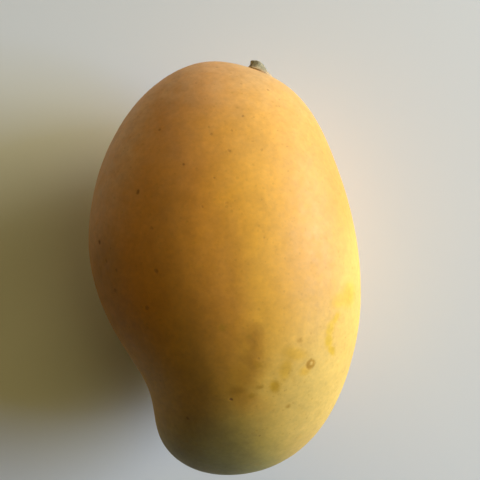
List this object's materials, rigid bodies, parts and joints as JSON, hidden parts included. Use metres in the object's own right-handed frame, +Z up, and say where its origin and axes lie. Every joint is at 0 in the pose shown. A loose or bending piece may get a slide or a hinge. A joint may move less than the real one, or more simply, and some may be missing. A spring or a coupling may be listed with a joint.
{
  "type": "mango",
  "caption": "Ripe yellow mango with a full back, a hollowed belly side above its blunt beak and a short cut stem, lying on one cheek.",
  "frame": {"origin": "under the middle of the fruit and its stem, on the surface that the fruit rests on", "axes": "+Y along the fruit, from the beak to the stem end; +X across it, from the hollowed belly side to the full back; +Z up through its thickness"},
  "size_m": [0.0728, 0.1116, 0.0616],
  "materials": {
    "skin": "satin",
    "bark": "matt"
  },
  "bodies": {
    "root": {"fruit": "skin", "stem": "bark"}
  },
  "joints": []
}
